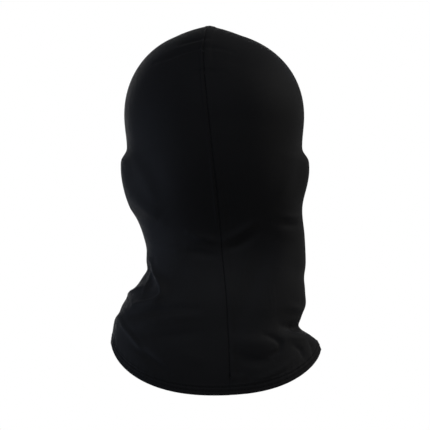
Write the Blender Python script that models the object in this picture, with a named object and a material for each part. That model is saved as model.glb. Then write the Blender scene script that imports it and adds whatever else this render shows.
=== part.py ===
"""A thin stretch-knit balaclava, stretched as if worn, cut as two mirrored panels.

The two panels meet in one centre seam that runs from the brow, over the crown and
down the back of the neck, and in a second one from under the eyes to the front hem.
Sizes are in millimetres, in the frame of the head: +X is the wearer's left, the face
looks along -Y, +Z is up. Heights are counted down from the top of the cloth.
"""

import math

import bmesh
import bpy
import numpy as np

MM = 0.001

# ---- Driving dimensions ---------------------------------------------------------
CLOTH = 0.8  # thickness of the knit
GAP = 0.3  # air between layers that are sewn together
CROWN_STACK = 5.4  # from the top of the cloth down to the head, through the seam

HEAD_HALF = 78.8  # half the breadth of the head over the cloth
WIDEST = -79.0  # height at which the head is broadest
DOME_TOP = -4.5  # top of the round crown, under the ridge that the seam pulls up
RIDGE = -DOME_TOP  # how far the taut seam stands above the round crown
RIDGE_REACH = 30.0  # distance over which that ridge dies away
RIDGE_POWER = 1.3
DOME_POWER = 2.1  # superellipse power of the crown
APEX_X = 4.6  # the crown's highest point sits beside the head's middle

HEM_LEVEL = -322.0  # the hem at the centre of the back
SHOULDER_RISE = {+1: 51.0, -1: 46.5}  # how far the hem climbs over each shoulder
SHOULDER_POWER = {+1: 0.95, -1: 0.82}
SHOULDER_ROUND = 0.1
HEM_ZONE = 14.0  # height of the band in which rows run parallel to the hem
HEM_TURN = 8.5  # how far the hem is turned up inside
NECK_TOP = -150.0  # below this the rows begin to follow the hem

SEAM_ALLOWANCE = 5.0  # both allowances are laid towards the wearer's right
CROWN_RADIUS = 75.0

EYE_HEIGHT = -112.0  # middle of the face opening
EYE_HALF_HEIGHT = 27.0
EYE_HALF_WIDTH = 74.0  # along the cloth, from the front seam line
EYE_POWER = 2.5  # superellipse power of the opening's outline
NOSE_RISE = 5.0  # the opening's lower edge climbs over the nose bridge by this
NOSE_REACH = 17.0

BINDING_WIDTH = 7.0
BINDING_WALL = 0.7
BINDING_GAP = 0.35
ELASTIC_THICK = 0.6
ELASTIC_GAP = 0.55
ELASTIC_BAND = (1.0, 5.0)  # it lies this far from the opening's edge
THREAD = 0.4
NEEDLE_ROWS = {"upper": 7.2, "lower": 3.8}  # hem stitch rows above the hem's edge

LABEL_SIZE = (26.0, 20.0, 0.35)  # width from the seam, height, thickness
LABEL_LEVEL = -280.0
LABEL_OFFSET = 6.1  # from the seam, just past the overlocked edge
LABEL_DEPTH = 4.2  # under the outside of the cloth
LABEL_TILT = 9.0  # degrees that it leans inwards, off the curved cloth

COLUMNS = 20  # from back seam to front seam in each panel
SEAM_COLUMN = 6.0  # the columns next to a seam keep this distance from it
CROWDING = 0.3  # how much closer together the columns are towards the face
OPENING_STEPS = 56

# Half widths and depths of the head, neck and collar: (height, size).
LEFT = [(WIDEST, HEAD_HALF), (-104, 76.6), (-140, 75.5), (-158, 72.6), (-170, 66.6), (-184, 61.8),
        (-198, 59.2), (-219, 62.8), (-236, 74.0), (-250, 85.3), (-268, 89.6), (-290, 91.5), (-330, 92.0)]
RIGHT = [(WIDEST, HEAD_HALF), (-104, 77.0), (-140, 77.2), (-160, 76.4), (-184, 79.1), (-219, 80.2),
         (-245, 78.3), (-256, 76.4), (-268, 79.5), (-290, 86.5), (-330, 93.0)]
BACK = [(WIDEST, 97.0), (-100, 97.2), (-125, 93.0), (-150, 83.0), (-172, 72.0), (-195, 65.5),
        (-222, 65.0), (-250, 69.5), (-285, 77.0), (-330, 85.0)]
FRONT = [(WIDEST, 92.5), (-97, 94.5), (-113, 92.5), (-132, 95.0), (-152, 98.0), (-182, 98.5),
         (-208, 97.5), (-226, 92.0), (-246, 83.0), (-268, 79.5), (-292, 82.0), (-330, 88.0)]
ROUNDNESS = [(WIDEST, DOME_POWER), (-150, 2.15), (-200, 2.05), (-330, 2.2)]
BACK_SEAM_X = [(0, APEX_X), (-14, 8.0), (-26, 9.0), (-45, 8.4), (-91, 3.8), (-175, -5.0), (-322, -13.7)]
FRONT_SEAM_X = [(0, APEX_X), (-40, 3.5), (-110, 1.0), (-322, -4.0)]

EAR_HEIGHT = -124.5
EAR_STAND_OFF = {+1: 5.9, -1: 6.2}
EAR_ABOVE = 12.5  # how fast the ear dies away above, sharply, and below
EAR_BELOW = {+1: 31.0, -1: 24.0}
EAR_ANGLE = math.radians(86)  # from the back of the head
EAR_SPREAD = math.radians(15)
SHOULDER_FLARE = 9.0  # the collar's kick-out over the wearer's right shoulder
FLARE_HEIGHTS = (-264.0, -277.0)
NOSE = (11.0, -151.0, 20.0, 20.0)  # stand-off, height, half breadth and half height
CHIN = (3.5, -205.0, 24.0, 15.0)

# Rows of the panels, as heights at the centre of the back.
HEM_ROWS = [14.0, 12.6, 11.2, HEM_TURN, *NEEDLE_ROWS.values(), 0.0]  # above the hem's edge
HEAD_ROWS = [DOME_TOP, -5.4, -8.0, -12.5, -19.0, -27, -37, -48, -57.5, -63, -65, -67, -73, -79, -86,
             -93, -100, -107, -114, -121, -128, -135, -142, -148, -151, -153, -155]
NECK_ROWS = [-164, -174, -185, -197, -209, -220, -231, -242, -253, -265, -278, -292]
ROWS = HEAD_ROWS + NECK_ROWS + [HEM_LEVEL + height for height in HEM_ROWS]
CROWN_ROWS = 3  # rows so close to the crown that a seam hardly leaves the level
BROW_END, CHIN_START = -63, -155  # the front allowances stop short of the opening


def through(knots, at):
    """A smooth curve through the knots, level at both ends."""
    known = np.array(sorted(knots), float)
    x, y = known[:, 0], known[:, 1]
    slope = np.zeros(len(x))
    slope[1:-1] = (y[2:] - y[:-2]) / (x[2:] - x[:-2])
    at = np.clip(np.asarray(at, float), x[0], x[-1])
    i = np.clip(np.searchsorted(x, at) - 1, 0, len(x) - 2)
    span = x[i + 1] - x[i]
    t = (at - x[i]) / span
    return ((1 + 2 * t) * (1 - t) ** 2 * y[i] + t * (1 - t) ** 2 * span * slope[i]
            + t * t * (3 - 2 * t) * y[i + 1] + t * t * (t - 1) * span * slope[i + 1])


def ease(low, high, at):
    t = np.clip((at - low) / (high - low), 0, 1)
    return t * t * (3 - 2 * t)


def by_side(sizes, angle):
    """The value of the side that an angle lies on: +1 is the wearer's left."""
    return np.where(np.sin(angle) >= 0, sizes[+1], sizes[-1])


def ridge_height(aside):
    """How far the taut seam lifts the crown at a distance from it."""
    return RIDGE * np.maximum(1 - np.abs(aside) / RIDGE_REACH, 0) ** RIDGE_POWER


def hem_height(angle):
    climb = np.sqrt(np.cos(angle) ** 2 + SHOULDER_ROUND**2) / math.hypot(1, SHOULDER_ROUND)
    return HEM_LEVEL + by_side(SHOULDER_RISE, angle) * (1 - climb ** by_side(SHOULDER_POWER, angle))


def height_at(level, angle):
    """The height of a row at an angle: level on the head, parallel to the hem low down."""
    hem = hem_height(angle)
    zone = HEM_LEVEL + HEM_ZONE
    share = (level - NECK_TOP) / (zone - NECK_TOP)
    between = NECK_TOP + share * (hem + HEM_ZONE - NECK_TOP)
    return np.where(level >= NECK_TOP, level, np.where(level >= zone, between, hem + level - HEM_LEVEL))


def extents(z):
    """Centre offset, left, right, back and front sizes of the cross-section at a height."""
    rise = np.clip((z - WIDEST) / (DOME_TOP - WIDEST), 0, 1)
    dome = (1 - rise**DOME_POWER) ** (1 / DOME_POWER)
    centre = APEX_X * np.exp(np.minimum(z - DOME_TOP, 0) / 20)
    low = np.minimum(z, WIDEST)
    return [centre] + [dome * through(k, low) for k in (LEFT, RIGHT, BACK, FRONT)]


def seam_angle(knots, level, front):
    """The angle at which a seam crosses a row, found from its sideways place."""
    z = height_at(level, math.pi if front else 0.0)
    centre, left, right, _, _ = extents(z)
    aside = float(through(knots, z) - centre)
    half = float(left if aside > 0 else right)
    if half < 1e-6:
        return math.pi if front else 0.0
    power = float(through(ROUNDNESS, min(z, WIDEST)))
    lean = math.copysign(math.asin(min(1, abs(aside) / half) ** (power / 2)), aside)
    return math.pi - lean if front else lean


def cloth(angle, level):
    """Points on the outside of the cloth. Angle 0 is the back, a quarter turn the wearer's left."""
    angle, level = np.broadcast_arrays(np.asarray(angle, float), np.asarray(level, float))
    z = height_at(level, angle)
    centre, left, right, back, front = extents(z)
    sine, cosine = np.sin(angle), np.cos(angle)
    power = 2 / through(ROUNDNESS, np.minimum(z, WIDEST))
    side = np.where(sine >= 0, left, right)
    fore = np.where(cosine >= 0, back, front)
    x = centre + side * np.sign(sine) * np.abs(sine) ** power
    y = fore * np.sign(cosine) * np.abs(cosine) ** power

    turn = np.abs(np.arctan2(sine, cosine))
    lift = z - EAR_HEIGHT
    fade = np.where(lift > 0, (lift / EAR_ABOVE) ** 4, (lift / by_side(EAR_BELOW, angle)) ** 2)
    ear = by_side(EAR_STAND_OFF, angle) * np.exp(-fade)
    x = x + np.sign(sine) * ear * np.exp(-((turn - EAR_ANGLE) / EAR_SPREAD) ** 2)
    flare = SHOULDER_FLARE * (1 - ease(FLARE_HEIGHTS[1], FLARE_HEIGHTS[0], z)) * np.abs(sine) ** 8
    x = x - np.where(sine < 0, flare, 0)
    for stand_off, height, breadth, tall in (NOSE, CHIN):
        bump = stand_off * np.exp(-(x / breadth) ** 2 - ((z - height) / tall) ** 2)
        y = y - np.where(cosine < 0, bump, 0)

    aside = np.where(cosine >= 0, through(BACK_SEAM_X, z), through(FRONT_SEAM_X, z))
    ridge = ridge_height(x - aside) * ease(-70, DOME_TOP, z)
    point = np.stack([x, y, z], -1)
    middle = np.array([0, 0, -90.0])
    out = point - middle
    return point + out / np.linalg.norm(out, axis=-1, keepdims=True) * ridge[..., None]


def normals(angle, level):
    """Outward unit normals of the cloth, by small steps along and across it."""
    step_a, step_l = 1e-3, 0.05
    low = np.minimum(level, DOME_TOP - 2 * step_l)
    along = cloth(angle + step_a, low) - cloth(angle - step_a, low)
    down = cloth(angle, low - step_l) - cloth(angle, low + step_l)
    normal = np.cross(along, down)
    return normal / np.linalg.norm(normal, axis=-1, keepdims=True)


def mesh_object(name, points, faces, material):
    """A closed mesh object from points in millimetres, its normals turned outwards."""
    places = np.asarray(points, float).reshape(-1, 3) + np.array([0, 0, CROWN_STACK])
    mesh = bpy.data.meshes.new(name)
    mesh.from_pydata((places * MM).tolist(), [], [list(map(int, f)) for f in faces])
    shape = bmesh.new()
    shape.from_mesh(mesh)
    bmesh.ops.remove_doubles(shape, verts=shape.verts, dist=2e-6)
    bmesh.ops.triangulate(shape, faces=shape.faces)
    bmesh.ops.recalc_face_normals(shape, faces=shape.faces)
    shape.to_mesh(mesh)
    shape.free()
    mesh.shade_smooth()
    mesh.set_sharp_from_angle(angle=math.radians(40))
    mesh.materials.append(material)
    thing = bpy.data.objects.new(name, mesh)
    bpy.context.scene.collection.objects.link(thing)
    return thing


def finish(name, colour, roughness):
    material = bpy.data.materials.new(name)
    material.use_nodes = True
    shader = material.node_tree.nodes["Principled BSDF"]
    shader.inputs["Base Color"].default_value = (*colour, 1)
    shader.inputs["Roughness"].default_value = roughness
    shader.inputs["Metallic"].default_value = 0.0
    return material


# ---- The seams' own frames --------------------------------------------------------
class SeamLine:
    """The line of a seam through all rows, with its normal and the direction to the wearer's right."""

    def __init__(self, front):
        knots = FRONT_SEAM_X if front else BACK_SEAM_X
        self.angle = np.array([seam_angle(knots, level, front) for level in ROWS])
        levels = np.array(ROWS)
        self.point = cloth(self.angle, levels)
        step = 1e-3
        run = np.linalg.norm(cloth(self.angle + step, levels) - cloth(self.angle, levels), axis=1)
        self.turn = step / np.maximum(run, 1e-9)  # angle for each millimetre along the row
        self.towards_right = 1 if front else -1
        flank = np.where(self.turn < 1, 2 * self.turn, 0)
        both = normals(self.angle - flank, levels) + normals(self.angle + flank, levels)
        self.normal = both / np.linalg.norm(both, axis=1, keepdims=True)
        along = np.gradient(self.point, axis=0)
        right = np.cross(along, self.normal)
        right *= np.sign(-right[:, :1])
        self.right = right / np.linalg.norm(right, axis=1, keepdims=True)
        self.point[0] = cloth(0.0, DOME_TOP)
        self.normal[0] = (0, 0, 1)
        self.right[0] = (-1, 0, 0)

    def at(self, row, aside, depth):
        """A point beside the seam, to the wearer's right, and under the cloth's outside."""
        if row < CROWN_ROWS:
            droop = aside**2 / (2 * CROWN_RADIUS) + RIDGE - ridge_height(aside)
            return self.point[row] + aside * self.right[row] - (depth + droop) * self.normal[row]
        angle = self.angle[row] + self.towards_right * aside * self.turn[row]
        return cloth(angle, ROWS[row]) - depth * self.normal[row]


def allowance_state(row, front):
    """(width share, depth share) of the seam allowances in a row."""
    level = ROWS[row]
    if level < HEM_LEVEL + 14.0 - 0.1:
        return 0.0, 1.0 if level > HEM_LEVEL + 12.0 else 0.0
    if front and CHIN_START < level < BROW_END:
        return 0.0, 1.0 if level > BROW_END - 3 or level < CHIN_START + 3 else 0.0
    return 1.0, 1.0


def seam_edge(line, row, front, is_left):
    """The panel's edge at a seam, from its outer corner to its inner one: six points.

    The right panel folds back under itself; the left one passes below both layers."""
    wide, deep = allowance_state(row, front)
    half, thick = GAP / 2, CLOTH
    if is_left:
        full = [(-half, 0), (-half, 2 * thick + 2 * GAP), (SEAM_ALLOWANCE, 2 * thick + 2 * GAP),
                (SEAM_ALLOWANCE, 3 * thick + 2 * GAP), (-half - thick, 3 * thick + 2 * GAP), (-half - thick, thick)]
        stub = [(-half, 0), (-half, 2.3 * thick), (-half, 2.7 * thick), (-half - thick / 2, 2.9 * thick),
                (-half - thick, 2.6 * thick), (-half - thick, thick)]
    else:
        full = [(half, 0), (half, 2 * thick + GAP), (SEAM_ALLOWANCE, 2 * thick + GAP),
                (SEAM_ALLOWANCE, thick + GAP), (half + thick, thick + GAP), (half + thick, thick)]
        stub = [(half, 0), (half, 1.5 * thick), (half + 0.3 * thick, 1.9 * thick),
                (half + 0.8 * thick, 1.9 * thick), (half + thick, 1.5 * thick), (half + thick, thick)]
    sign = -1 if is_left else 1
    bulge = [0, 0.02, 0.04, 0.04, 0.02, 0]
    plain = [(sign * (half - bulge[k]), thick * k / 5) for k in range(6)]
    shape = full if wide else (stub if deep else plain)
    return [line.at(row, aside, depth) for aside, depth in shape]


# ---- The two panels -----------------------------------------------------------------
def columns(row, seams, is_left):
    """The angles of a panel's columns in a row, from the back seam to the front seam."""
    back, front = seams
    side = 1 if is_left else -1
    start = back.angle[row]
    end = front.angle[row] - (0 if is_left else 2 * math.pi)
    first = start + side * SEAM_COLUMN * back.turn[row]
    last = end - side * SEAM_COLUMN * front.turn[row]
    share = np.linspace(0, 1, COLUMNS - 1)
    share = share + CROWDING * share * (1 - share)
    return np.array([start, *(first + (last - first) * share), end])


def panel(name, is_left, seams, material):
    """One half of the hood and neck, with its seam allowances and its turned-up hem."""
    back, front = seams
    rings = []
    for row, level in enumerate(ROWS):
        angle = columns(row, seams, is_left)[1:-1] if row else np.zeros(COLUMNS - 1)
        levels = np.full_like(angle, level)
        outer = cloth(angle, levels)
        inner = outer - CLOTH * normals(angle, levels)
        rings.append(panel_ring(row, outer, inner, back, front, is_left))
    pole = rings[0]
    for k in range(1, COLUMNS):
        pole[k] = pole[0]
        pole[COLUMNS + 5 + k] = pole[COLUMNS + 5]
    last = len(ROWS) - 1
    rings[last] = hem_ring(0.0, last, seams, is_left, turned=False)
    for up in range(4):
        rings.append(hem_ring(HEM_ROWS[-1 - up], last - up, seams, is_left, turned=True))
    count = len(rings[0])
    faces = []
    for i in range(len(rings) - 1):
        for k in range(count):
            n = (k + 1) % count
            faces.append([i * count + k, i * count + n, (i + 1) * count + n, (i + 1) * count + k])
    base = (len(rings) - 1) * count
    inner_of = [(COLUMNS + 5) + (COLUMNS - k) for k in range(COLUMNS + 1)]
    for k in range(1, COLUMNS - 1):
        faces.append([base + k, base + k + 1, base + inner_of[k + 1], base + inner_of[k]])
    edge_f = [base + k for k in range(COLUMNS, COLUMNS + 6)]
    faces.append([base + COLUMNS - 1] + edge_f + [base + inner_of[COLUMNS - 1]])
    edge_b = [base + k % count for k in range(inner_of[0], count + 1)]
    faces.append([base + inner_of[1]] + edge_b + [base + 1])
    return mesh_object(name, np.concatenate(rings), faces, material)


def panel_ring(row, outer, inner, back, front, is_left):
    """Once round a row: outside from back to front, front seam edge, inside, back seam edge."""
    start = seam_edge(back, row, False, is_left)
    end = seam_edge(front, row, True, is_left)
    return np.array([start[0], *outer, *end, *inner[::-1], *start[:0:-1]])


def hem_ring(height, row, seams, is_left, turned):
    """Once round the hem: its fold, or a row of the layer that is turned up inside."""
    side = 1 if is_left else -1
    angle = columns(row, seams, is_left)
    angle[0] += side * GAP / 2 * seams[0].turn[row]
    angle[-1] -= side * GAP / 2 * seams[1].turn[row]
    low = np.full_like(angle, HEM_LEVEL + height)
    high = low + (0 if height else CLOTH)
    deep = CLOTH + GAP if turned else 0
    outer = cloth(angle, low) - (deep + CLOTH if turned else 0) * normals(angle, low)
    inner = cloth(angle, high) - (deep if turned else CLOTH) * normals(angle, high)
    edges = []
    for k in (0, COLUMNS):
        share = np.linspace(0, 1, 6)[:, None]
        edge = outer[k] * (1 - share) + inner[k] * share
        edge[1:5] -= np.array([0.03 * side, 0, 0])
        edges.append(edge)
    return np.array([outer[0], *outer[1:-1], *edges[1], *inner[-2:0:-1], *edges[0][:0:-1]])


def cut_opening(thing, cutter):
    """Takes the face opening out of a panel."""
    cut = thing.modifiers.new("face_opening", "BOOLEAN")
    cut.operation = "DIFFERENCE"
    cut.solver = "EXACT"
    cut.object = cutter


# ---- The face opening ---------------------------------------------------------------
def opening_outline(grow):
    """The opening's outline on the unrolled cloth, grown outwards: sideways place and height."""
    turn = np.linspace(0, 2 * math.pi, 4001)
    round_ = np.stack([size * np.sign(wave) * np.abs(wave) ** (2 / EYE_POWER)
                       for size, wave in ((EYE_HALF_WIDTH, np.cos(turn)), (EYE_HALF_HEIGHT, np.sin(turn)))], -1)
    run = np.concatenate([[0], np.cumsum(np.linalg.norm(np.diff(round_, axis=0), axis=1))])
    stations = (np.arange(OPENING_STEPS) + 0.5) / OPENING_STEPS * run[-1]
    here = np.stack([np.interp(stations, run, round_[:, k]) for k in (0, 1)], -1)
    here[:, 1] += EYE_HEIGHT + NOSE_RISE * np.exp(-(here[:, 0] / NOSE_REACH) ** 2) * (here[:, 1] < 0)
    tangent = np.roll(here, -1, 0) - np.roll(here, 1, 0)
    away = np.stack([tangent[:, 1], -tangent[:, 0]], -1)
    away /= np.linalg.norm(away, axis=1, keepdims=True)
    return here + grow * away


def on_face(places):
    """Angle and height of places on the unrolled face, by arc length from the front seam line."""
    angles = []
    for sideways, z in places:
        fan = math.pi - np.linspace(0, 1.6, 200) * np.sign(sideways)
        points = cloth(fan, np.full_like(fan, z))
        run = np.concatenate([[0], np.cumsum(np.linalg.norm(np.diff(points, axis=0), axis=1))])
        angles.append(np.interp(abs(sideways), run, fan))
    return np.array(angles), places[:, 1]


def face_loop(grow, lift):
    """The opening's outline, grown along the cloth and lifted off it."""
    angle, level = on_face(opening_outline(grow))
    return cloth(angle, level) + lift * normals(angle, level)


def opening_cutter():
    """A curved block, wider than the cloth is thick, with the opening's outline."""
    reach = 9.0
    loops = [face_loop(0, reach), face_loop(0, -reach)]
    points = np.concatenate(loops)
    count = OPENING_STEPS
    faces = [[k, (k + 1) % count, count + (k + 1) % count, count + k] for k in range(count)]
    for base in (0, count):
        # The steps sit half a step off the ends, so above and below pair up.
        for k in range(count // 2 - 1):
            faces.append([base + k, base + k + 1, base + count - 2 - k, base + count - 1 - k])
    cutter = mesh_object("opening_cutter", points, faces, None)
    cutter.hide_render = True
    cutter.display_type = "WIRE"
    return cutter


def band_round_opening(name, profile, material):
    """A closed band round the opening. The profile is (distance from the edge, lift) points."""
    loops = np.array([face_loop(grow, lift) for grow, lift in profile])
    points = loops.transpose(1, 0, 2).reshape(-1, 3)
    return mesh_object(name, points, ring_faces(OPENING_STEPS, len(profile)), material)


def ring_faces(steps, sides):
    """Faces of a profile carried once round a closed loop."""
    faces = []
    for i in range(steps):
        for k in range(sides):
            n, j = (k + 1) % sides, (i + 1) % steps
            faces.append([i * sides + k, i * sides + n, j * sides + n, j * sides + k])
    return faces


def binding(material):
    """A strip folded over the cut edge, with room inside for the cloth and the elastic."""
    over = BINDING_GAP
    top = over + BINDING_WALL
    under = -(CLOTH + ELASTIC_GAP + ELASTIC_THICK + GAP)
    low = under - BINDING_WALL
    edge = -over - BINDING_WALL
    profile = [(BINDING_WIDTH, over), (BINDING_WIDTH, top), (BINDING_WIDTH / 2, top), (-0.3, top),
               (edge, 0.3), (edge, under + 0.2), (-0.3, low), (BINDING_WIDTH / 2, low), (BINDING_WIDTH, low),
               (BINDING_WIDTH, under), (BINDING_WIDTH / 2, under), (-over, under), (-over, over),
               (BINDING_WIDTH / 2, over)]
    return band_round_opening("face_opening_binding", profile, material)


def flat_band(name, near, far, low, high, material):
    return band_round_opening(name, [(near, low), (near, high), (far, high), (far, low)], material)


# ---- Hem threads ----------------------------------------------------------------------
def hem_thread(name, low, high, shallow, deep, seams, material):
    """A band right round the neck. Each edge is (stitch row, millimetres above that row)."""
    loops = []
    for (row, above), depth in ((low, shallow), (high, shallow), (high, deep), (low, deep)):
        left = columns(row, seams, is_left=True)[:-1]
        right = columns(row, seams, is_left=False)[::-1][:-1] + 2 * math.pi
        angle = np.concatenate([left, right])
        level = np.full_like(angle, ROWS[row] + above)
        loops.append(cloth(angle, level) - depth * normals(angle, level))
    points = np.array(loops).transpose(1, 0, 2).reshape(-1, 3)
    return mesh_object(name, points, ring_faces(len(angle), 4), material)


# ---- Overlock threads along the seams -------------------------------------------------
def overlock(name, stations, material):
    """Thread wrapped over the raw edges of both allowances, as an angle section."""
    thick = 3 * CLOTH + 2 * GAP
    edge = SEAM_ALLOWANCE + GAP
    profile = [(edge, CLOTH + 2 * GAP), (edge + THREAD, CLOTH + 2 * GAP), (edge + THREAD, thick + GAP + THREAD),
               (1.5, thick + GAP + THREAD), (1.5, thick + GAP), (edge, thick + GAP)]
    points = [line.at(row, aside, depth) for line, row in stations for aside, depth in profile]
    sides = len(profile)
    faces = [[i * sides + k, i * sides + (k + 1) % sides, (i + 1) * sides + (k + 1) % sides, (i + 1) * sides + k]
             for i in range(len(stations) - 1) for k in range(sides)]
    faces.append(list(range(sides)))
    faces.append([(len(stations) - 1) * sides + k for k in range(sides)])
    return mesh_object(name, points, faces, material)


def care_label(back, material):
    """A blank satin label, caught in the back seam by one edge. Its origin is on that edge."""
    row = min(range(len(ROWS)), key=lambda r: abs(ROWS[r] - LABEL_LEVEL))
    along = back.point[row - 1] - back.point[row + 1]
    along /= np.linalg.norm(along)
    lean = math.radians(LABEL_TILT)
    right, inward = back.right[row], -back.normal[row]
    width = math.cos(lean) * right + math.sin(lean) * inward
    thick = np.cross(along, width)
    hinge = back.at(row, LABEL_OFFSET, LABEL_DEPTH)
    wide, tall, deep = LABEL_SIZE
    places = [hinge + a * wide * width + (b - 0.5) * tall * along + (c - 0.5) * deep * thick
              for a in (0, 1) for b in (0, 1) for c in (0, 1)]
    faces = [(0, 1, 3, 2), (4, 6, 7, 5), (0, 4, 5, 1), (2, 3, 7, 6), (0, 2, 6, 4), (1, 5, 7, 3)]
    label = mesh_object("care_label", np.array(places) - hinge - np.array([0, 0, CROWN_STACK]), faces, material)
    label.location = ((hinge + np.array([0, 0, CROWN_STACK])) * MM).tolist()
    print("care label hinge:", [round(float(v), 5) for v in label.location],
          "axis:", [round(float(v), 4) for v in along])
    return label


def main():
    for thing in list(bpy.data.objects):
        bpy.data.objects.remove(thing)
    knit = finish("black stretch knit", (0.012, 0.012, 0.013), 0.75)
    tape = finish("black binding tape", (0.014, 0.014, 0.015), 0.7)
    thread = finish("black polyester thread", (0.02, 0.02, 0.021), 0.5)
    rubber = finish("white braided elastic", (0.7, 0.69, 0.66), 0.8)
    satin = finish("white satin ribbon", (0.8, 0.79, 0.76), 0.4)

    seams = SeamLine(front=False), SeamLine(front=True)
    back, front = seams
    cutter = opening_cutter()
    for name, is_left in (("left_panel", True), ("right_panel", False)):
        cut_opening(panel(name, is_left, seams, knit), cutter)

    binding(tape)
    inside = -(CLOTH + ELASTIC_GAP)
    flat_band("face_opening_elastic", *ELASTIC_BAND, inside - ELASTIC_THICK, inside, rubber)
    outside = 2 * BINDING_GAP + BINDING_WALL
    flat_band("face_binding_needle_thread", 4.7, 5.3, outside, outside + THREAD, thread)
    lining = inside - ELASTIC_THICK - 2 * GAP - BINDING_WALL
    flat_band("face_binding_looper_thread", 3.4, 6.4, lining - THREAD, lining, thread)

    upper, lower = [ROWS.index(HEM_LEVEL + height) for height in NEEDLE_ROWS.values()]
    half = THREAD * 0.75
    for row, place in ((upper, "upper"), (lower, "lower")):
        hem_thread(f"neck_hem_{place}_needle_thread", (row, -half), (row, half), -GAP - THREAD, -GAP,
                   seams, thread)
    lined = 2 * CLOTH + 2 * GAP
    hem_thread("neck_hem_looper_thread", (lower, -half), (upper, half), lined, lined + THREAD, seams, thread)

    rows = range(len(ROWS))
    hem_start = ROWS.index(HEM_LEVEL + HEM_ROWS[0])
    over_brow = [(front, r) for r in reversed(rows) if ROWS[r] >= BROW_END]
    down_back = [(back, r) for r in rows if 0 < r <= hem_start]
    overlock("crown_seam_overlock_thread", over_brow + down_back, thread)
    below = [(front, r) for r in rows if ROWS[r] <= CHIN_START and r <= hem_start]
    overlock("chin_seam_overlock_thread", below, thread)
    care_label(back, satin)


main()
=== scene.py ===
"""The looks of a black stretch-knit balaclava, worn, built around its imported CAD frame.

Sizes are in millimetres. Heights count down from the top of the cloth, +X is the wearer's
left, the face looks along -Y. Everything is turned to metres where a mesh is made.
"""

import math

import bmesh
import bpy
import mathutils
import numpy as np
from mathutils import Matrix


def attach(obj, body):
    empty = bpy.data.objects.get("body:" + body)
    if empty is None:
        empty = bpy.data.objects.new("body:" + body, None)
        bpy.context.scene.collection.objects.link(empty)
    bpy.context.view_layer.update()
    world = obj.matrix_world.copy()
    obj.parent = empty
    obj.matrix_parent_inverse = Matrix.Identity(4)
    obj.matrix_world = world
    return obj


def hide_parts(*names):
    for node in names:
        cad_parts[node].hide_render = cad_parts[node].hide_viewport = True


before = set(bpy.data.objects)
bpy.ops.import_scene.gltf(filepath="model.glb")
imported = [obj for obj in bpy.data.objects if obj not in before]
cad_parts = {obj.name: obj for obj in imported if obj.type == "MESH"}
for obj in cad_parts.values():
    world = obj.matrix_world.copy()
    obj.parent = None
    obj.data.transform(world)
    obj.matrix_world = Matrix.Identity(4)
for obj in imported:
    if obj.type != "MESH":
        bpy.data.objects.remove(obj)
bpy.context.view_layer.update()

# ==== The shape of the worn cloth ====
# Two jersey panels are pulled over a head. The knit is stretched tight over skull and ears,
# tucks in under the ears, and falls into a loose flared collar. This part gives that surface.
MM = 0.001
CROWN_STACK = 5.4  # from the top of the cloth, where heights are zero, down to the head
HEM_LEVEL, HEM_ZONE = -322.0, 14.0  # the hem at the back, and how far above it rows run parallel to it
UPPER_ROW, LOWER_ROW = 7.2, 3.8  # the hem's two stitch rows, above its edge
NECK_TOP = -150.0  # rows are level above this
# How far the hem climbs over each shoulder, and along what curve; +1 is the wearer's left.
SHOULDER_RISE = {+1: 51.6, -1: 47.6}
SHOULDER_POWER = {+1: 0.95, -1: 0.82}
SHOULDER_ROUND = 0.14  # how far from the side, as a share of the depth, the hem's arch is rounded
# The skull: half its breadth, the height where it is widest, its top, and the dome's superellipse power.
HEAD_HALF, WIDEST, DOME_TOP, DOME_POWER = 78.8, -79.0, -4.5, 2.1
# Below the dome: (height, distance from the axis) on each side, and (height, superellipse power).
LEFT = [(WIDEST, HEAD_HALF), (-104, 76.6), (-140, 75.5), (-158, 72.6), (-170, 66.6), (-184, 61.8),
        (-198, 59.2), (-219, 62.8), (-236, 74.0), (-250, 85.3), (-268, 89.6), (-290, 91.5), (-330, 92.0)]
RIGHT = [(WIDEST, HEAD_HALF), (-104, 77.0), (-140, 77.2), (-160, 76.4), (-184, 79.1), (-219, 80.2),
         (-245, 78.3), (-256, 76.4), (-268, 79.5), (-290, 86.5), (-330, 93.0)]
BACK = [(WIDEST, 97.0), (-100, 97.2), (-125, 93.0), (-150, 83.0), (-172, 72.0), (-195, 65.5),
        (-222, 65.0), (-250, 69.5), (-285, 77.0), (-330, 85.0)]
FRONT = [(WIDEST, 92.5), (-97, 94.5), (-113, 92.5), (-132, 95.0), (-152, 98.0), (-182, 98.5),
         (-208, 97.5), (-226, 92.0), (-246, 83.0), (-268, 79.5), (-292, 82.0), (-330, 88.0)]
ROUNDNESS = [(WIDEST, DOME_POWER), (-150, 2.15), (-200, 2.05), (-330, 2.2)]
CROWN_X, CROWN_LEAN = 4.6, 20.0  # the crown's sideways place, and the depth over which that dies away
# Where the seams run: (height, sideways place).
BACK_SEAM_X = [(0, CROWN_X), (-14, 8.0), (-26, 9.0), (-45, 8.4), (-91, 3.8), (-175, -5.0), (-322, -13.7)]
FRONT_SEAM_X = [(0, CROWN_X), (-40, 3.5), (-110, 1.0), (-322, -4.0)]
# The ears under the cloth: the height and turn of their middle, and how far they spread and stand out.
EAR_LEVEL, EAR_TURN, EAR_SPREAD = -124.5, math.radians(86), math.radians(15)
EAR_UPPER, EAR_LOWER, EAR_PROUD = 12.5, {+1: 31.0, -1: 24.0}, {+1: 5.9, -1: 6.2}
# Nose and chin: height, how far they stand out, half width, half height.
FACE_BUMPS = [(-151, 11.0, 20, 20), (-205, 3.5, 24, 15)]
COLLAR_KICK = 9.0  # how far the right side of the neck draws in above the collar
HEAD_MIDDLE, HEAD_RADIUS = -90.0, 88  # the skull's middle, and its mean radius
RIDGE_REACH = 30  # how far the taut crown seam lifts the cloth to each side


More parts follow.
